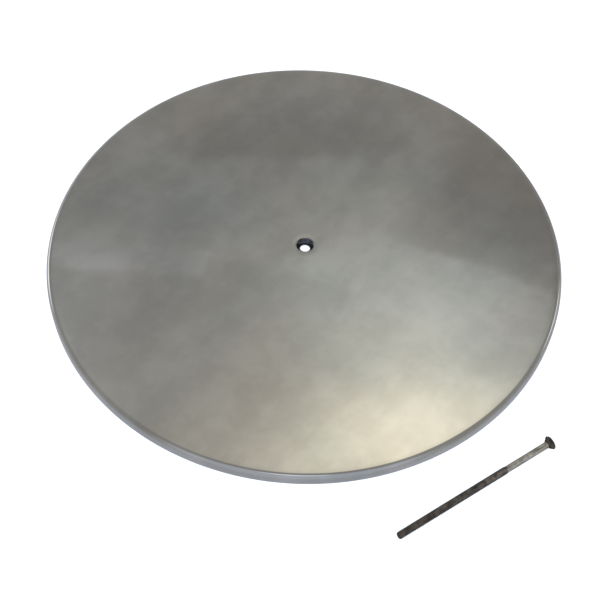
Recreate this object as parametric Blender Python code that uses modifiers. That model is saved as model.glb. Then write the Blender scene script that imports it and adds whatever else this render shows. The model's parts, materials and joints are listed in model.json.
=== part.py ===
"""Round stainless cover plate for a floor cleanout, with its long flat-head fixing screw lying beside it.

Metres, +Z up. The origin is on the plate's axis, in the plane that the rim stands on. +X is to the right
and the screw lies at the front right, on the same plane.
"""

import math

import bmesh
import bpy
from mathutils import Vector

INCH = 0.0254

# Cover plate: one pressing of 20 gauge stainless sheet
PLATE_RADIUS = 6.0 * INCH
PLATE_HEIGHT = 0.25 * INCH
SHEET = 0.0009
RIM_BEND = 0.0032

# Dimple in the middle of the plate, a countersink that ends in a short drawn neck
COUNTERSINK_HALF_ANGLE = math.radians(41.0)
DIMPLE_BEND = 0.0012
DIMPLE_MOUTH_RADIUS = 0.006
NECK_RADIUS = 0.003
DIMPLE_DEPTH = 0.0044

# Fixing screw: number 8, 32 threads to the inch, 82 degree flat head
SCREW_LENGTH = 3.875 * INCH
HEAD_RADIUS = 0.0039
HEAD_LAND = 0.0004
SHANK_RADIUS = 0.00182
THREAD_RADIUS = 0.00208
ROOT_RADIUS = 0.0016
PITCH = INCH / 32
THREAD_START = 0.0295
RUN_OUT = 0.0006
TIP_CHAMFER = 0.0006
TIP_RADIUS = 0.00145
SLOT_WIDTH = 0.0012
SLOT_DEPTH = 0.0009
SLOT_ANGLE = math.radians(35.0)

# Where the loose screw lies: the middle of its head's face, and the way from its tip to its head
SCREW_X = 0.1339
SCREW_Y = -0.1243
SCREW_HEADING = math.radians(34.15)
FLOOR_GAP = 0.00001

# How finely the round shapes are faceted
PLATE_STEPS = 96
SCREW_STEPS = 32
THREAD_STEPS = 12


def clear_scene():
    for obj in list(bpy.data.objects):
        bpy.data.objects.remove(obj, do_unlink=True)


def new_collection(name):
    collection = bpy.data.collections.new(name)
    bpy.context.scene.collection.children.link(collection)
    return collection


def metal(name, colour, roughness):
    """A Principled metal of one colour."""
    material = bpy.data.materials.new(name)
    material.use_nodes = True
    shader = material.node_tree.nodes["Principled BSDF"]
    shader.inputs["Base Color"].default_value = (*colour, 1.0)
    shader.inputs["Metallic"].default_value = 1.0
    shader.inputs["Roughness"].default_value = roughness
    return material


def arc(centre, radius, first, last, steps):
    """Points (r, z) of an arc about centre, from one angle to another in degrees, both ends included."""
    angles = [math.radians(first + (last - first) * i / steps) for i in range(steps + 1)]
    return [(centre[0] + radius * math.cos(a), centre[1] + radius * math.sin(a)) for a in angles]


def profile_object(name, outline, closed):
    """An edge-only mesh in the XZ plane through the points (r, z)."""
    count = len(outline)
    edges = [(i, (i + 1) % count) for i in range(count if closed else count - 1)]
    mesh = bpy.data.meshes.new(name)
    mesh.from_pydata([(r, 0.0, z) for r, z in outline], edges, [])
    return bpy.data.objects.new(name, mesh)


def screw_modifier(obj, steps):
    """A full turn of the object's profile about its own Z axis."""
    turn = obj.modifiers.new("Turn", "SCREW")
    turn.axis = "Z"
    turn.angle = 2 * math.pi
    turn.steps = steps
    turn.render_steps = steps
    turn.use_merge_vertices = True
    turn.merge_threshold = 1e-6
    turn.use_smooth_shade = True
    return turn


def turned(name, outline, closed, steps):
    """A turned solid. Its outline runs down the outer side."""
    obj = profile_object(name, outline, closed)
    screw_modifier(obj, steps)
    return obj


def boolean(obj, other, operation):
    cut = obj.modifiers.new(operation.title(), "BOOLEAN")
    cut.operation = operation
    cut.object = other
    cut.solver = "EXACT"


def make_helper(obj, helpers):
    """Puts a cutter or a Boolean's other half where it isn't rendered."""
    helpers.objects.link(obj)
    obj.hide_render = True
    obj.display_type = "WIRE"


def plate_outline():
    """The sheet's closed section: down the outside of the rim, back under the plate, and up the dimple."""
    top = PLATE_HEIGHT
    slope = 90.0 - math.degrees(COUNTERSINK_HALF_ANGLE)
    inner_bend = DIMPLE_BEND - SHEET
    rim = (PLATE_RADIUS - RIM_BEND, top - RIM_BEND)
    mouth = (DIMPLE_MOUTH_RADIUS, top - DIMPLE_BEND)
    # The neck's bend follows the cone, which leaves the mouth's bend at the same slope.
    neck_r = NECK_RADIUS + DIMPLE_BEND
    neck = (neck_r, mouth[1] - (mouth[0] - neck_r) / math.tan(COUNTERSINK_HALF_ANGLE))
    neck_end = top - DIMPLE_DEPTH
    outline = arc(rim, RIM_BEND, 90, 0, 6)
    outline += [(PLATE_RADIUS, 0.0), (PLATE_RADIUS - SHEET, 0.0)]
    outline += arc(rim, RIM_BEND - SHEET, 0, 90, 5)
    outline += arc(mouth, inner_bend, 90, 90 + slope, 2)
    outline += arc(neck, inner_bend, 90 + slope, 180, 2)
    outline += [(NECK_RADIUS + SHEET, neck_end), (NECK_RADIUS, neck_end)]
    outline += arc(neck, DIMPLE_BEND, 180, 90 + slope, 2)
    outline += arc(mouth, DIMPLE_BEND, 90 + slope, 90, 3)
    return outline


def make_plate(material):
    plate = turned("cover_plate", plate_outline(), True, PLATE_STEPS)
    plate.data.materials.append(material)
    return plate


def head_and_shank_outline():
    """From the middle of the head's face, down the cone and the plain shank, to inside the thread."""
    cone_end = HEAD_LAND + (HEAD_RADIUS - SHANK_RADIUS) / math.tan(COUNTERSINK_HALF_ANGLE)
    return [
        (0.0, 0.0),
        (HEAD_RADIUS, 0.0),
        (HEAD_RADIUS, -HEAD_LAND),
        (SHANK_RADIUS, -cone_end),
        (SHANK_RADIUS, -THREAD_START),
        (TIP_RADIUS, -THREAD_START - RUN_OUT),
        (0.0, -THREAD_START - RUN_OUT),
    ]


def thread_limits_outline():
    """A body that the endless thread is cut to: it starts inside the shank and ends in the tip's chamfer."""
    clear = 1.2 * THREAD_RADIUS
    start = THREAD_START - RUN_OUT
    return [
        (0.0, -start),
        (TIP_RADIUS, -start),
        (clear, -start - 2 * RUN_OUT),
        (clear, -SCREW_LENGTH + TIP_CHAMFER * (clear - TIP_RADIUS) / (THREAD_RADIUS - TIP_RADIUS)),
        (TIP_RADIUS, -SCREW_LENGTH),
        (0.0, -SCREW_LENGTH),
    ]


def close_end(bm, rim):
    """A fan from a new point on the axis to the open rim's edges."""
    height = sum(edge.verts[0].co.z + edge.verts[1].co.z for edge in rim) / (2 * len(rim))
    middle = bm.verts.new((0.0, 0.0, height))
    for edge in rim:
        bm.faces.new((*edge.verts, middle))


def make_thread():
    """A right-hand thread with open flanks, one pitch longer at each end than the part of it that is kept."""
    turns = math.ceil((SCREW_LENGTH - THREAD_START) / PITCH) + 2
    groove = [(ROOT_RADIUS, PITCH), (THREAD_RADIUS, PITCH / 2), (ROOT_RADIUS, 0.0)]
    guide = profile_object("thread_profile", groove, False)
    turn = screw_modifier(guide, THREAD_STEPS)
    turn.use_merge_vertices = False
    turn.screw_offset = PITCH
    turn.iterations = turns
    bpy.context.scene.collection.objects.link(guide)
    graph = bpy.context.evaluated_depsgraph_get()
    mesh = bpy.data.meshes.new_from_object(guide.evaluated_get(graph))
    bpy.data.objects.remove(guide, do_unlink=True)

    bm = bmesh.new()
    bm.from_mesh(mesh)
    bmesh.ops.remove_doubles(bm, verts=bm.verts, dist=1e-6)
    middle = turns * PITCH / 2
    open_edges = [edge for edge in bm.edges if edge.is_boundary]
    close_end(bm, [edge for edge in open_edges if edge.verts[0].co.z < middle])
    close_end(bm, [edge for edge in open_edges if edge.verts[0].co.z > middle])
    bmesh.ops.translate(bm, verts=bm.verts, vec=(0.0, 0.0, -SCREW_LENGTH - PITCH))
    bmesh.ops.recalc_face_normals(bm, faces=bm.faces)
    bm.to_mesh(mesh)
    bm.free()
    return bpy.data.objects.new("thread", mesh)


def make_slot():
    """The cutter for the driver's slot across the head."""
    mesh = bpy.data.meshes.new("slot")
    bm = bmesh.new()
    bmesh.ops.create_cube(bm, size=1.0)
    bmesh.ops.scale(bm, verts=bm.verts, vec=(3 * HEAD_RADIUS, SLOT_WIDTH, 2 * SLOT_DEPTH))
    bm.to_mesh(mesh)
    bm.free()
    slot = bpy.data.objects.new("slot", mesh)
    slot.rotation_euler = (0.0, 0.0, SLOT_ANGLE)
    return slot


def lay_down(screw, helpers):
    """Rests the screw on the ground, on its head's rim and its last thread, and takes its helpers with it."""
    span = SCREW_LENGTH - TIP_CHAMFER - HEAD_LAND
    tilt = math.atan((HEAD_RADIUS - THREAD_RADIUS) / span)
    height = HEAD_RADIUS * math.cos(tilt) + HEAD_LAND * math.sin(tilt) + FLOOR_GAP
    towards_head = Vector((
        math.cos(SCREW_HEADING) * math.cos(tilt),
        math.sin(SCREW_HEADING) * math.cos(tilt),
        math.sin(tilt),
    ))
    for helper in helpers:
        helper.parent = screw
    screw.location = (SCREW_X, SCREW_Y, height)
    screw.rotation_euler = towards_head.to_track_quat("Z", "Y").to_euler()


def make_screw(material, helpers):
    """The screw's own +Z leaves its head's face, and its origin is the middle of that face."""
    screw = turned("cover_screw", head_and_shank_outline(), False, SCREW_STEPS)
    screw.data.materials.append(material)
    limits = turned("thread_limits", thread_limits_outline(), False, SCREW_STEPS)
    thread = make_thread()
    slot = make_slot()
    for helper in (limits, thread, slot):
        make_helper(helper, helpers)
    boolean(thread, limits, "INTERSECT")
    boolean(screw, thread, "UNION")
    boolean(screw, slot, "DIFFERENCE")
    lay_down(screw, (limits, thread, slot))
    return screw


def main():
    clear_scene()
    parts = new_collection("cleanout_cover")
    helpers = new_collection("helpers")
    sheet_steel = metal("polished_sheet", (0.46, 0.45, 0.43), 0.28)
    screw_steel = metal("screw_steel", (0.20, 0.19, 0.17), 0.4)
    parts.objects.link(make_plate(sheet_steel))
    parts.objects.link(make_screw(screw_steel, helpers))


main()
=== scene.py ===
import json
import math
import random

import bpy
import numpy as np
from mathutils import Matrix, Vector


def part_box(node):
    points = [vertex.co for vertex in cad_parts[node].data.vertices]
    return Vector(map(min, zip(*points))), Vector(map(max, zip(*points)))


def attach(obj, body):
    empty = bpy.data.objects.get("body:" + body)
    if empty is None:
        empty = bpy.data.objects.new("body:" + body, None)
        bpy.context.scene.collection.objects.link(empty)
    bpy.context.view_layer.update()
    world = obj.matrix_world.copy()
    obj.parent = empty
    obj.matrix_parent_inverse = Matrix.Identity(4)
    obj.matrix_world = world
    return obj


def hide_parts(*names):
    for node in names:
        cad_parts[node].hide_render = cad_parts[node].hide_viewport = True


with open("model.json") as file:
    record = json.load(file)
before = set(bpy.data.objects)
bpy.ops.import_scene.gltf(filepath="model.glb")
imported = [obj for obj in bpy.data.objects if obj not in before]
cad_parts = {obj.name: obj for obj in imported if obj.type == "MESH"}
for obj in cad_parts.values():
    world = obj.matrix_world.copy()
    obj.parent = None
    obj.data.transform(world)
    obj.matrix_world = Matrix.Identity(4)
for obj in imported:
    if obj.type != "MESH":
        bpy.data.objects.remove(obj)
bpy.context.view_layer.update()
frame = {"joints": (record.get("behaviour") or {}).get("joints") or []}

# Sizes of the CAD solids that the finer meshes repeat, in metres
SHEET = 0.0009
RIM_BEND = 0.0032
CONE_HALF_ANGLE = 41.0
DIMPLE_BEND = 0.0012
DIMPLE_MOUTH_RADIUS = 0.006
NECK_RADIUS = 0.003
DIMPLE_DEPTH = 0.0044
SCREW_LENGTH = 0.098425
HEAD_RADIUS = 0.0039
HEAD_LAND = 0.0004
SHANK_RADIUS = 0.00182
THREAD_RADIUS = 0.00208
ROOT_RADIUS = 0.0016
PITCH = 0.0254 / 32
THREAD_START = 0.0295
RUN_OUT = 0.0006
TIP_CHAMFER = 0.0006
TIP_RADIUS = 0.00145
SLOT_WIDTH = 0.0012
SLOT_DEPTH = 0.0009
SLOT_ANGLE = math.radians(35.0)

# Flats at the thread's crest and root, as fractions of its pitch
CREST_FLAT = 0.125
ROOT_FLAT = 0.25

# How finely the pieces are made
PLATE_STEPS = 384
FACE_RINGS = 48
HEAD_STEPS = 96
THREAD_STEPS = 32
RINGS_PER_PITCH = 14

# Radii of the edges that the finer meshes round off, and the steepest angles that they shade smoothly
SHEET_EDGE = 0.00018
HEAD_EDGE = 0.00009
SHEET_SHARP = 50.0
HEAD_SHARP = 35.0
THREAD_SHARP = 60.0

# The waves that the pressed sheet keeps: their lengths, their height for a metre of length, how far from the
# plate's axis they start, and over how much they grow from there and from the rim's bend
WAVE_LENGTHS = (0.045, 0.13)
WAVE_SLOPE = 0.0001
WAVE_MARGIN = 0.008
WAVE_GROWTH = 0.02

# The floor's width, and how far it lies below the object so that the two never share a plane
FLOOR_SIZE = 12.0
FLOOR_GAP = 0.0001

# The way that the sheet's grain runs, from +X
SHEET_GRAIN = math.radians(52.0)

# The painted shade in the dimple's countersink fades out between these distances from the plate's axis, and
# these heights
COUNTERSINK_SHADE_RADII = (0.0071, 0.0067)
COUNTERSINK_SHADE_HEIGHTS = (0.00625, 0.00595)

PLATE_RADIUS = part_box("cover_plate")[1].x
PLATE_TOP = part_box("cover_plate")[1].z
SCREW_JOINT = frame["joints"][0]
SCREW_AXIS = -Vector(SCREW_JOINT["axis"]).normalized()

# The side of the screw that is painted lighter, as if light falls on it, with painted shade on its far side,
# square to its axis
LIGHT_FACING_SIDE = Vector((-0.17, -0.44, 0.88))
PAINTED_LIGHT_SIDE = (LIGHT_FACING_SIDE - LIGHT_FACING_SIDE.dot(SCREW_AXIS) * SCREW_AXIS).normalized()


# --- Camera, floor, sky and lights ---------------------------------------------------------------

def make_camera():
    """Looks down at the plate from in front of it, a little short of its middle, and slightly rolled."""
    distance = 4.139 * PLATE_RADIUS
    height_angle = math.radians(52.04)
    look_down = math.radians(54.71)
    look_left = math.radians(0.27)
    roll = math.radians(2.13)
    ahead = Vector((
        -math.sin(look_left) * math.cos(look_down),
        math.cos(look_left) * math.cos(look_down),
        -math.sin(look_down),
    ))
    right = ahead.cross(Vector((0.0, 0.0, 1.0))).normalized()
    up = right.cross(ahead)
    right, up = (
        right * math.cos(roll) + up * math.sin(roll),
        up * math.cos(roll) - right * math.sin(roll),
    )
    camera = bpy.data.objects.new("camera", bpy.data.cameras.new("camera"))
    bpy.context.scene.collection.objects.link(camera)
    camera.data.sensor_width = 36.0
    camera.data.lens = 63.0
    camera.data.clip_start = 0.01
    camera.data.clip_end = 50.0
    place = (0.0, -distance * math.cos(height_angle), distance * math.sin(height_angle))
    axes = Matrix((right, up, -ahead)).transposed().to_4x4()
    camera.matrix_world = Matrix.Translation(place) @ axes
    bpy.context.scene.camera = camera


class Nodes:
    """A short way to write a node tree."""

    def __init__(self, owner):
        owner.use_nodes = True
        self.tree = owner.node_tree

    def add(self, kind, settings=None, **inputs):
        """A node. An input is given by its name or as in_NUMBER, and is a value or another node's output."""
        node = self.tree.nodes.new(kind)
        for key, value in (settings or {}).items():
            setattr(node, key, value)
        for key, value in inputs.items():
            where = int(key[3:]) if key.startswith("in_") else key.replace("_", " ")
            socket = node.inputs[where]
            if isinstance(value, bpy.types.NodeSocket):
                self.tree.links.new(value, socket)
            else:
                socket.default_value = value
        return node

    def link(self, output, socket):
        self.tree.links.new(output, socket)

    def math(self, operation, *values):
        node = self.tree.nodes.new("ShaderNodeMath")
        node.operation = operation
        for socket, value in zip(node.inputs, values):
            if isinstance(value, bpy.types.NodeSocket):
                self.tree.links.new(value, socket)
            else:
                socket.default_value = value
        return node.outputs[0]

    def spread(self, value, low, high, to_low=0.0, to_high=1.0):
        """value moved from the range low to high to another range, eased at both ends."""
        node = self.add("ShaderNodeMapRange", {"interpolation_type": "SMOOTHSTEP"}, Value=value)
        node.inputs["From Min"].default_value = low
        node.inputs["From Max"].default_value = high
        node.inputs["To Min"].default_value = to_low
        node.inputs["To Max"].default_value = to_high
        return node.outputs["Result"]

    def mix(self, factor, first, second):
        """A colour between two others."""
        node = self.tree.nodes.new("ShaderNodeMix")
        node.data_type = "RGBA"
        for name, value in (("Factor", factor), ("A", first), ("B", second)):
            socket = next(s for s in node.inputs if s.name == name and s.enabled)
            if isinstance(value, bpy.types.NodeSocket):
                self.tree.links.new(value, socket)
            elif name == "Factor":
                socket.default_value = value
            else:
                socket.default_value = (*value, 1.0)
        return next(s for s in node.outputs if s.enabled)


def direction(azimuth, elevation):
    """A unit vector. Azimuth 0 is +Y and 90 is +X, in degrees."""
    a, e = math.radians(azimuth), math.radians(elevation)
    return Vector((math.sin(a) * math.cos(e), math.cos(a) * math.cos(e), math.sin(e)))


# The room that the metal mirrors. First its brightness by elevation, as fractions of 90 degrees.
SKY_BY_HEIGHT = (
    (0.00, (0.40, 0.40, 0.40)),
    (0.20, (0.38, 0.38, 0.37)),
    (0.33, (0.36, 0.355, 0.335)),
    (0.46, (0.325, 0.315, 0.295)),
    (0.51, (0.30, 0.295, 0.28)),
    (0.57, (0.32, 0.325, 0.315)),
    (0.68, (0.34, 0.34, 0.325)),
    (0.90, (0.32, 0.31, 0.30)),
)

# Soft round patches of the room: azimuth, elevation, inner and outer radius in degrees, and colour.
SKY_PATCHES = {
    "front": (180.0, 35.0, 30.0, 50.0, (0.52, 0.56, 0.62)),
    "front_lamp": (180.0, 66.0, 4.0, 10.0, (1.00, 1.02, 1.10)),
    "left_wall": (-42.0, 6.0, 6.0, 18.0, (0.58, 0.60, 0.62)),
    "left_window": (-60.0, 12.0, 6.0, 16.0, (1.30, 1.32, 1.35)),
    "right_wall": (38.0, 12.0, 12.0, 24.0, (0.27, 0.265, 0.26)),
    "right_window": (68.0, 21.0, 4.0, 12.0, (1.10, 1.07, 1.05)),
}

# Glows and straight-edged panels on a flat ceiling one unit above the table. Each has its middle (x, y),
# its half sizes and how far it's turned in degrees. A panel then has how soft its near edge and its sides
# are, and how far back from its far edge it fades out, as fractions of its half sizes. The last item is the
# colour that it multiplies the ceiling by.
CEILING_GLOWS = {
    "lamp": (0.13, 0.50, 0.26, 0.16, 12.0, (1.85, 1.80, 1.66)),
    "lamp_spill": (0.08, 0.50, 0.42, 0.33, 20.0, (1.90, 1.84, 1.66)),
    "beam": (0.15, 0.68, 0.24, 0.26, 40.0, (1.52, 1.54, 1.55)),
    "middle_glow": (0.04, 0.81, 0.26, 0.17, 40.0, (1.18, 1.18, 1.15)),
    "left_edge_light": (-0.30, 0.62, 0.16, 0.24, 0.0, (1.24, 1.24, 1.24)),
    "middle_shade": (0.05, 0.740, 0.10, 0.055, 20.0, (0.88, 0.88, 0.89)),
    "left_blue": (-0.17, 0.84, 0.16, 0.07, 0.0, (0.96, 0.98, 1.00)),
}

CEILING_PANELS = {
    "right_wedge": (0.390, 0.945, 0.20, 0.23, -20.0, 0.03, 0.22, 1.60, (0.80, 0.78, 0.77)),
    "left_strip": (-0.27, 0.780, 0.155, 0.038, -2.0, 0.10, 0.02, 1.80, (1.14, 1.15, 1.18)),
    "left_step": (-0.27, 0.772, 0.070, 0.032, -12.0, 0.10, 0.05, 1.80, (1.06, 1.06, 1.07)),
    "middle_strip": (-0.02, 0.780, 0.095, 0.034, -11.5, 0.10, 0.04, 1.80, (1.11, 1.11, 1.11)),
    "back_shade": (-0.02, 0.985, 0.13, 0.050, 4.0, 0.08, 0.20, 1.60, (0.86, 0.85, 0.84)),
}


def shape_axes(nodes, across, along, x, y, half_x, half_y, turned):
    """Coordinates in the shape's own turned axes, -1 to 1 from edge to edge."""
    c, s = math.cos(math.radians(turned)), math.sin(math.radians(turned))
    from_x = nodes.math("SUBTRACT", across, x)
    from_y = nodes.math("SUBTRACT", along, y)
    local_x = nodes.math("MULTIPLY_ADD", from_x, c / half_x, nodes.math("MULTIPLY", from_y, s / half_x))
    local_y = nodes.math("MULTIPLY_ADD", from_x, -s / half_y, nodes.math("MULTIPLY", from_y, c / half_y))
    return local_x, local_y


def glow(nodes, across, along, shape):
    """1 in the middle of the shape, falling softly to 0 at its round edge."""
    x, y = shape_axes(nodes, across, along, *shape[:5])
    squares = nodes.math("MULTIPLY_ADD", x, x, nodes.math("MULTIPLY", y, y))
    return nodes.spread(nodes.math("SQRT", squares), 1.0, 0.0)


def panel(nodes, across, along, shape):
    """1 at the shape's near edge, and 0 outside it. It fades towards its far edge."""
    soft, soft_side, fade = shape[5:8]
    x, y = shape_axes(nodes, across, along, *shape[:5])
    inside_x = nodes.spread(nodes.math("ABSOLUTE", x), 1.0 + soft_side, 1.0 - soft_side)
    near = nodes.spread(y, -1.0 - soft, -1.0 + soft)
    far = nodes.spread(y, 1.0, 1.0 - fade)
    return nodes.math("MULTIPLY", inside_x, nodes.math("MULTIPLY", near, far))


def make_sky():
    """The room as the metal mirrors it. Behind the object, the camera sees a plain white backdrop."""
    world = bpy.data.worlds.new("studio")
    bpy.context.scene.world = world
    nodes = Nodes(world)
    where = nodes.add("ShaderNodeTexCoord").outputs["Generated"]
    unit = nodes.add("ShaderNodeVectorMath", {"operation": "NORMALIZE"}, in_0=where).outputs[0]
    parts = nodes.add("ShaderNodeSeparateXYZ", in_0=unit).outputs
    elevation = nodes.math("DIVIDE", nodes.math("ARCSINE", parts["Z"]), math.pi / 2)
    ramp = nodes.add("ShaderNodeValToRGB", Fac=elevation)
    ramp.color_ramp.interpolation = "B_SPLINE"
    while len(ramp.color_ramp.elements) < len(SKY_BY_HEIGHT):
        ramp.color_ramp.elements.new(1.0)
    for element, (place, colour) in zip(ramp.color_ramp.elements, SKY_BY_HEIGHT):
        element.position = place
        element.color = (*colour, 1.0)
    colour = ramp.outputs["Color"]
    height = nodes.math("MAXIMUM", parts["Z"], 0.02)
    across = nodes.math("DIVIDE", parts["X"], height)
    along = nodes.math("DIVIDE", parts["Y"], height)
    shapes = [(glow, shape) for shape in CEILING_GLOWS.values()]
    shapes += [(panel, shape) for shape in CEILING_PANELS.values()]
    for inside, shape in shapes:
        gain = nodes.mix(inside(nodes, across, along, shape), (1.0, 1.0, 1.0), shape[-1])
        product = nodes.add("ShaderNodeVectorMath", {"operation": "MULTIPLY"}, in_0=colour, in_1=gain)
        colour = product.outputs[0]
    for azimuth, height_angle, inner, outer, tint in SKY_PATCHES.values():
        towards = nodes.add("ShaderNodeVectorMath", {"operation": "DOT_PRODUCT"}, in_0=unit)
        towards.inputs[1].default_value = direction(azimuth, height_angle)
        near = nodes.spread(
            towards.outputs["Value"], math.cos(math.radians(outer)), math.cos(math.radians(inner))
        )
        colour = nodes.mix(near, colour, tint)
    seen = nodes.add("ShaderNodeLightPath").outputs["Is Camera Ray"]
    nodes.link(nodes.mix(seen, colour, (1.0, 1.0, 1.0)), nodes.tree.nodes["Background"].inputs["Color"])


def make_lamp(azimuth, elevation, distance, size, power, tint):
    """A round soft light aimed at the middle of the plate. The metal mirrors the room's own lamp instead."""
    data = bpy.data.lights.new("lamp", "AREA")
    data.shape = "DISK"
    data.size = size
    data.energy = power
    data.color = tint
    light = bpy.data.objects.new("lamp", data)
    bpy.context.scene.collection.objects.link(light)
    towards = direction(azimuth, elevation)
    light.location = towards * distance
    light.rotation_euler = towards.to_track_quat("Z", "Y").to_euler()
    light.visible_camera = False
    light.visible_glossy = False


def make_floor():
    """A pale table top that the camera sees as white, and that the rim mirrors as a cool grey."""
    bpy.ops.mesh.primitive_plane_add(size=FLOOR_SIZE, location=(0.0, 0.0, -FLOOR_GAP))
    floor = bpy.context.object
    floor.name = "floor"
    material = bpy.data.materials.new("pale_floor")
    nodes = Nodes(material)
    shader = nodes.tree.nodes["Principled BSDF"]
    shader.inputs["Base Color"].default_value = (0.87, 0.885, 0.96, 1.0)
    shader.inputs["Roughness"].default_value = 0.9
    shader.inputs["Specular IOR Level"].default_value = 0.1
    shader.inputs["Emission Color"].default_value = (0.90, 0.96, 1.0, 1.0)
    seen = nodes.add("ShaderNodeLightPath").outputs["Is Camera Ray"]
    nodes.link(nodes.math("MULTIPLY_ADD", seen, 0.85, 0.12), shader.inputs["Emission Strength"])
    floor.data.materials.append(material)


# --- Materials -----------------------------------------------------------------------------------

# The screw's finishes: dark and pale colour, roughness, and the share of blotches against streaks. The
# head's near-black colours are painted shade.
SCREW_FINISHES = {
    "screw_shank": ((0.26, 0.23, 0.195), (1.0, 0.94, 0.84), 0.45, 0.4),
    # Painted shade: the head is coloured near black, as if its cone lay in shadow.
    "screw_head": ((0.03, 0.028, 0.022), (0.20, 0.19, 0.155), 0.45, 0.7),
    "screw_thread": ((0.06, 0.051, 0.043), (0.42, 0.365, 0.315), 0.5, 0.6),
}


def grain(nodes, angle, stretch):
    """Object coordinates, and the same turned and drawn out so that patterns run along the angle."""
    place = nodes.add("ShaderNodeTexCoord").outputs["Object"]
    turned = nodes.add("ShaderNodeMapping", {"vector_type": "TEXTURE"}, Vector=place)
    turned.inputs["Rotation"].default_value = (0.0, 0.0, angle)
    turned.inputs["Scale"].default_value = (stretch, 1.0, 1.0)
    return place, turned.outputs["Vector"]


def noise(nodes, vector, scale, detail, low=0.3, high=0.7):
    """Noise from 0 to 1, with the given number of features in a metre."""
    made = nodes.add("ShaderNodeTexNoise", Vector=vector, Scale=scale, Detail=detail)
    return nodes.spread(made.outputs["Fac"], low, high)


def metal_shader(material, coat):
    """The material's nodes and its shader, set to metal under a clear coat."""
    nodes = Nodes(material)
    shader = nodes.tree.nodes["Principled BSDF"]
    shader.inputs["Metallic"].default_value = 1.0
    shader.inputs["Coat Weight"].default_value = coat
    shader.inputs["Coat Roughness"].default_value = 0.04
    return nodes, shader


def add_bump(nodes, shader, height, distance):
    bump = nodes.add("ShaderNodeBump", Strength=1.0, Distance=distance, Height=height)
    nodes.link(bump.outputs["Normal"], shader.inputs["Normal"])


def polished_sheet_material():
    """Semi-polished stainless sheet with cloudy handling marks. Its countersink is painted near black as
    shade.
    """
    material = bpy.data.materials.new("polished_sheet")
    nodes, shader = metal_shader(material, 1.0)
    place, along = grain(nodes, SHEET_GRAIN, 4.0)
    clouds = noise(nodes, place, 20.0, 3.0)
    smudges = noise(nodes, place, 75.0, 6.0, 0.36, 0.64)
    bands = noise(nodes, along, 38.0, 4.0, 0.36, 0.64)
    hairlines = noise(nodes, along, 400.0, 2.0, 0.2, 0.8)
    tone = nodes.math("MULTIPLY_ADD", bands, 0.4, nodes.math("MULTIPLY", clouds, 0.3))
    tone = nodes.math("MULTIPLY_ADD", smudges, 0.35, tone)
    face = nodes.mix(tone, (0.518, 0.513, 0.503), (0.665, 0.663, 0.650))
    tinge = nodes.mix(noise(nodes, place, 14.0, 2.0), (1.02, 0.995, 0.985), (0.98, 1.0, 1.01))
    face = nodes.add("ShaderNodeVectorMath", {"operation": "MULTIPLY"}, in_0=face, in_1=tinge).outputs[0]
    parts = nodes.add("ShaderNodeSeparateXYZ", Vector=place).outputs
    y_square = nodes.math("MULTIPLY", parts["Y"], parts["Y"])
    squares = nodes.math("MULTIPLY_ADD", parts["X"], parts["X"], y_square)
    near_axis = nodes.spread(nodes.math("SQRT", squares), *COUNTERSINK_SHADE_RADII)
    dimple = nodes.math("MULTIPLY", near_axis, nodes.spread(parts["Z"], *COUNTERSINK_SHADE_HEIGHTS))
    # Painted shade: the countersink's hollow is coloured near black.
    painted_countersink_shade = nodes.mix(noise(nodes, place, 600.0, 2.0), (0.035, 0.035, 0.045), (0.10, 0.105, 0.13))
    nodes.link(nodes.mix(dimple, face, painted_countersink_shade), shader.inputs["Base Color"])
    smooth = nodes.math("MULTIPLY_ADD", tone, -0.02, 0.045)
    rough = nodes.math("MULTIPLY_ADD", hairlines, 0.015, smooth)
    nodes.link(nodes.math("MULTIPLY_ADD", dimple, 0.25, rough), shader.inputs["Roughness"])
    add_bump(nodes, shader, bands, 0.000006)
    return material


def mill_sheet_material():
    """The sheet's underside, as it left the mill: pale, dull, streaked along the rolling direction."""
    material = bpy.data.materials.new("mill_sheet")
    nodes, shader = metal_shader(material, 0.0)
    place, along = grain(nodes, SHEET_GRAIN, 12.0)
    clouds = noise(nodes, place, 30.0, 4.0)
    lines = noise(nodes, along, 260.0, 3.0)
    tone = nodes.math("MULTIPLY_ADD", lines, 0.4, nodes.math("MULTIPLY", clouds, 0.6))
    nodes.link(nodes.mix(tone, (0.42, 0.42, 0.41), (0.54, 0.54, 0.53)), shader.inputs["Base Color"])
    nodes.link(nodes.math("MULTIPLY_ADD", tone, -0.12, 0.48), shader.inputs["Roughness"])
    add_bump(nodes, shader, lines, 0.00002)
    return material


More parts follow.
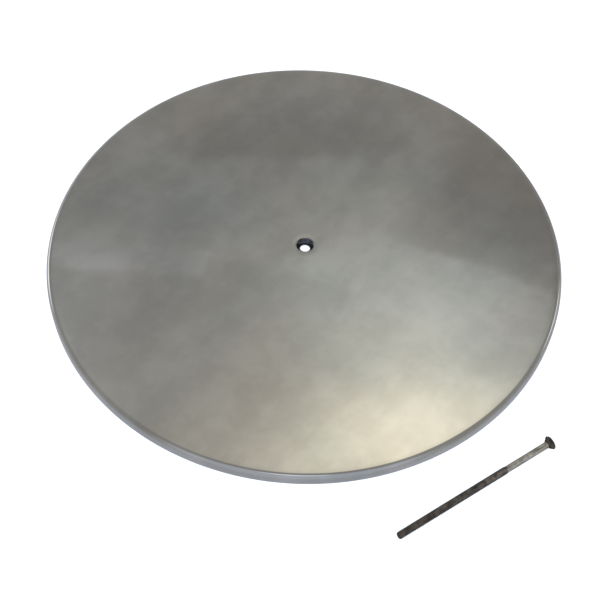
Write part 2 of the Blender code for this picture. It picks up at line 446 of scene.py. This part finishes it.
def screw_material(name, dark, pale, rough, grime):
    """Plain steel under a film of grime, thicker towards the tip. One side is painted lighter and the other
    painted in shade, as light falls on it.
    Streaks run along the screw."""
    material = bpy.data.materials.new(name)
    nodes, shader = metal_shader(material, 0.0)
    heading = math.atan2(SCREW_AXIS.y, SCREW_AXIS.x)
    place, along = grain(nodes, heading, 10.0)
    blotches = noise(nodes, place, 350.0, 3.0)
    streaks = noise(nodes, along, 1500.0, 3.0)
    tone = nodes.math("MULTIPLY_ADD", streaks, 1.0 - grime, nodes.math("MULTIPLY", blotches, grime))
    from_head = nodes.add("ShaderNodeVectorMath", {"operation": "SUBTRACT"}, in_0=place)
    from_head.inputs[1].default_value = SCREW_JOINT["pos_m"]
    # Painted light and shade: the side towards the light stays lighter, the far side is darkened down to a
    # fifth.
    towards_lit_side = nodes.add("ShaderNodeVectorMath", {"operation": "DOT_PRODUCT"}, in_0=from_head.outputs[0])
    towards_lit_side.inputs[1].default_value = PAINTED_LIGHT_SIDE
    lit_side_mask = nodes.spread(towards_lit_side.outputs["Value"], 0.2 * SHANK_RADIUS, 0.95 * SHANK_RADIUS)
    tone = nodes.math("MULTIPLY", tone, nodes.math("MULTIPLY_ADD", lit_side_mask, 0.8, 0.2))
    up_the_screw = nodes.add("ShaderNodeVectorMath", {"operation": "DOT_PRODUCT"}, in_0=from_head.outputs[0])
    up_the_screw.inputs[1].default_value = SCREW_AXIS
    clean = nodes.spread(up_the_screw.outputs["Value"], -SCREW_LENGTH, -THREAD_START, 0.5, 1.0)
    tone = nodes.math("MULTIPLY", tone, clean)
    nodes.link(nodes.mix(tone, dark, pale), shader.inputs["Base Color"])
    nodes.link(nodes.math("MULTIPLY_ADD", tone, -0.15, rough), shader.inputs["Roughness"])
    add_bump(nodes, shader, streaks, 0.00001)
    return material


# --- Meshes --------------------------------------------------------------------------------------

def arc(centre, radius, first, last, steps):
    """Points (r, z) of an arc about centre, from one angle to another in degrees, both ends included."""
    angles = [math.radians(first + (last - first) * i / steps) for i in range(steps + 1)]
    return [(centre[0] + radius * math.cos(a), centre[1] + radius * math.sin(a)) for a in angles]


def finish_mesh(name, points, faces, body, node, sharp):
    """A smooth-shaded piece that stands for a CAD node and rides on its body. Nothing mirrors the screw."""
    mesh = bpy.data.meshes.new(name)
    mesh.from_pydata(points, [], faces)
    mesh.update()
    mesh.shade_smooth()
    mesh.set_sharp_from_angle(angle=math.radians(sharp))
    piece = bpy.data.objects.new(name, mesh)
    bpy.context.scene.collection.objects.link(piece)
    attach(piece, body)
    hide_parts(node)
    piece.visible_glossy = body != "screw"
    return piece


def ring_faces(rings, steps, closed):
    """Quads between neighbouring rings of points, and between the last and the first where closed."""
    faces = []
    for i in range(rings if closed else rings - 1):
        a, b = i * steps, (i + 1) % rings * steps
        for j in range(steps):
            k = (j + 1) % steps
            faces.append((a + j, b + j, b + k, a + k))
    return faces


def turned_points(outline, steps):
    """The outline's points (r, z), turned about the Z axis, ring by ring."""
    return [
        (r * math.cos(a), r * math.sin(a), z)
        for r, z in outline
        for a in (2 * math.pi * j / steps for j in range(steps))
    ]


def sheet_waves(seed, count):
    """The sheet's waves: (how fast the phase grows in x and in y, phase, height)."""
    draw = random.Random(seed)
    waves = []
    for _ in range(count):
        length = draw.uniform(*WAVE_LENGTHS)
        heading = draw.uniform(0.0, math.pi)
        turn = 2 * math.pi / length
        height = WAVE_SLOPE * length
        phase = draw.uniform(0.0, 2 * math.pi)
        waves.append((turn * math.cos(heading), turn * math.sin(heading), phase, height))
    return waves


def sheet_outline():
    """The section of the plate: out over the face, round the rim, back under it and up the dimple.
    The second list says for each point whether it's on the outer, polished side."""
    slope = 90.0 - CONE_HALF_ANGLE
    inner_bend = DIMPLE_BEND - SHEET
    rim = (PLATE_RADIUS - RIM_BEND, PLATE_TOP - RIM_BEND)
    mouth = (DIMPLE_MOUTH_RADIUS, PLATE_TOP - DIMPLE_BEND)
    neck_r = NECK_RADIUS + DIMPLE_BEND
    neck = (neck_r, mouth[1] - (mouth[0] - neck_r) / math.tan(math.radians(CONE_HALF_ANGLE)))
    neck_end = PLATE_TOP - DIMPLE_DEPTH
    edge = SHEET_EDGE
    span = rim[0] - mouth[0]
    across = [mouth[0] + span * i / FACE_RINGS for i in range(1, FACE_RINGS)]
    outer = [(r, PLATE_TOP) for r in across]
    outer += arc(rim, RIM_BEND, 90, 0, 20)
    outer += arc((PLATE_RADIUS - edge, edge), edge, 0, -90, 3)
    inner = arc((PLATE_RADIUS - SHEET + edge / 2, edge / 2), edge / 2, -90, -180, 2)
    inner += arc(rim, RIM_BEND - SHEET, 0, 90, 16)
    inner += [(r, PLATE_TOP - SHEET) for r in reversed(across)]
    inner += arc(mouth, inner_bend, 90, 90 + slope, 5)
    inner += arc(neck, inner_bend, 90 + slope, 180, 4)
    inner += arc((NECK_RADIUS + SHEET - edge / 2, neck_end + edge / 2), edge / 2, 0, -90, 2)
    bore = arc((NECK_RADIUS + edge, neck_end + edge), edge, -90, -180, 3)
    bore += arc(neck, DIMPLE_BEND, 180, 90 + slope, 7)
    bore += arc(mouth, DIMPLE_BEND, 90 + slope, 90, 9)
    outline = outer + inner + bore
    polished = [True] * len(outer) + [False] * len(inner) + [True] * len(bore)
    return outline, polished


def make_plate(polished_sheet, mill_sheet):
    outline, polished = sheet_outline()
    points = np.array(turned_points(outline, PLATE_STEPS))
    flat = np.array([z in (PLATE_TOP, PLATE_TOP - SHEET) for _, z in outline]).repeat(PLATE_STEPS)
    x, y = points[:, 0], points[:, 1]
    r = np.hypot(x, y)
    inside = np.clip((r - WAVE_MARGIN) / WAVE_GROWTH, 0.0, 1.0)
    outside = np.clip((PLATE_RADIUS - RIM_BEND - r) / WAVE_GROWTH, 0.0, 1.0)
    fade = inside**2 * (3 - 2 * inside) * outside**2 * (3 - 2 * outside) * flat
    for in_x, in_y, phase, height in sheet_waves(seed=7, count=9):
        points[:, 2] += fade * height * np.sin(in_x * x + in_y * y + phase)
    faces = ring_faces(len(outline), PLATE_STEPS, closed=True)
    plate = finish_mesh("cover_plate_sheet", points.tolist(), faces, "cover", "cover_plate",
                        SHEET_SHARP)
    plate.data.materials.append(polished_sheet)
    plate.data.materials.append(mill_sheet)
    material = np.array([not side for side in polished], int).repeat(PLATE_STEPS)
    plate.data.polygons.foreach_set("material_index", material)
    return plate


def screw_frame():
    """The place of the screw's own axes: +Z leaves its head's face, and the origin is the face's middle."""
    turn = SCREW_AXIS.to_track_quat("Z", "Y").to_matrix().to_4x4()
    return Matrix.Translation(SCREW_JOINT["pos_m"]) @ turn


def make_head(shank_material, shaded_head_material):
    """The head and the plain shank, with the driver's slot."""
    edge = HEAD_EDGE
    cone_end = HEAD_LAND + (HEAD_RADIUS - SHANK_RADIUS) / math.tan(math.radians(CONE_HALF_ANGLE))
    outline = [(HEAD_RADIUS * f, 0.0) for f in (0.02, 0.5, 0.9)]
    outline += arc((HEAD_RADIUS - edge, -edge), edge, 90, 0, 4)
    outline += arc((HEAD_RADIUS - edge, -HEAD_LAND + edge), edge, 0, -49, 3)
    # A small fillet where the cone meets the shank
    outline += [(SHANK_RADIUS + 0.0003, -cone_end + 0.0003), (SHANK_RADIUS + 0.00005, -cone_end)]
    outline += [(SHANK_RADIUS, -cone_end - 0.0004), (SHANK_RADIUS, -THREAD_START)]
    outline += [(TIP_RADIUS, -THREAD_START - RUN_OUT), (0.02 * TIP_RADIUS, -THREAD_START - RUN_OUT)]
    points = turned_points(outline, HEAD_STEPS)
    faces = ring_faces(len(outline), HEAD_STEPS, closed=False)
    last = (len(outline) - 1) * HEAD_STEPS
    faces.append(tuple(range(HEAD_STEPS)))
    faces.append(tuple(last + j for j in reversed(range(HEAD_STEPS))))
    head = finish_mesh("screw_head_and_shank", points, faces, "screw", "cover_screw",
                       HEAD_SHARP)
    bpy.ops.mesh.primitive_cube_add(size=1.0)
    slot = bpy.context.object
    slot.scale = (3 * HEAD_RADIUS, SLOT_WIDTH, 2 * SLOT_DEPTH)
    slot.rotation_euler = (0.0, 0.0, SLOT_ANGLE)
    cut = head.modifiers.new("Slot", "BOOLEAN")
    cut.operation = "DIFFERENCE"
    cut.object = slot
    cut.solver = "EXACT"
    graph = bpy.context.evaluated_depsgraph_get()
    mesh = bpy.data.meshes.new_from_object(head.evaluated_get(graph))
    head.modifiers.clear()
    head.data = mesh
    bpy.data.objects.remove(slot, do_unlink=True)
    mesh.shade_smooth()
    mesh.set_sharp_from_angle(angle=math.radians(HEAD_SHARP))
    mesh.materials.append(shank_material)
    mesh.materials.append(shaded_head_material)
    for face in mesh.polygons:
        face.material_index = int(face.center.z > -cone_end)
    mesh.transform(screw_frame())
    return head


def thread_height(phase):
    """0 at the root and 1 at the crest of a 60 degree thread with flats, for a phase in turns."""
    from_crest = np.abs((phase % 1.0) - 0.5) * 2.0
    return np.clip((1.0 - ROOT_FLAT - from_crest) / (1.0 - ROOT_FLAT - CREST_FLAT), 0.0, 1.0)


def make_thread(material):
    """The rolled thread, from its run-out inside the shank to the chamfered tip."""
    start, end = THREAD_START - RUN_OUT, SCREW_LENGTH
    rings = int((end - start) / PITCH * RINGS_PER_PITCH)
    depth = np.linspace(start, end, rings)[:, None]
    angle = np.linspace(0.0, 2 * math.pi, THREAD_STEPS, endpoint=False)[None, :]
    height = thread_height(-depth / PITCH - angle / (2 * math.pi))
    growth = np.clip((depth - start) / (3 * RUN_OUT), 0.0, 1.0)
    radius = ROOT_RADIUS + (THREAD_RADIUS - ROOT_RADIUS) * height * growth
    chamfer = TIP_RADIUS + (end - depth) * (THREAD_RADIUS - TIP_RADIUS) / TIP_CHAMFER
    radius = np.minimum(radius, chamfer)
    points = np.stack(
        [radius * np.cos(angle), radius * np.sin(angle), np.broadcast_to(-depth, radius.shape)], axis=-1
    ).reshape(-1, 3)
    faces = ring_faces(rings, THREAD_STEPS, closed=False)
    last = (rings - 1) * THREAD_STEPS
    faces.append(tuple(range(THREAD_STEPS)))
    faces.append(tuple(last + j for j in reversed(range(THREAD_STEPS))))
    thread = finish_mesh("screw_thread", points.tolist(), faces, "screw", "cover_screw",
                         THREAD_SHARP)
    thread.data.transform(screw_frame())
    thread.data.materials.append(material)
    return thread


def main():
    bpy.context.scene.view_settings.view_transform = "Standard"
    make_camera()
    make_floor()
    make_sky()
    make_lamp(azimuth=14.0, elevation=61.5, distance=1.6, size=0.25, power=0.04, tint=(1.0, 0.96, 0.86))
    make_plate(polished_sheet_material(), mill_sheet_material())
    shank, head, thread = (screw_material(name, *finish) for name, finish in SCREW_FINISHES.items())
    make_head(shank, head)
    make_thread(thread)


main()
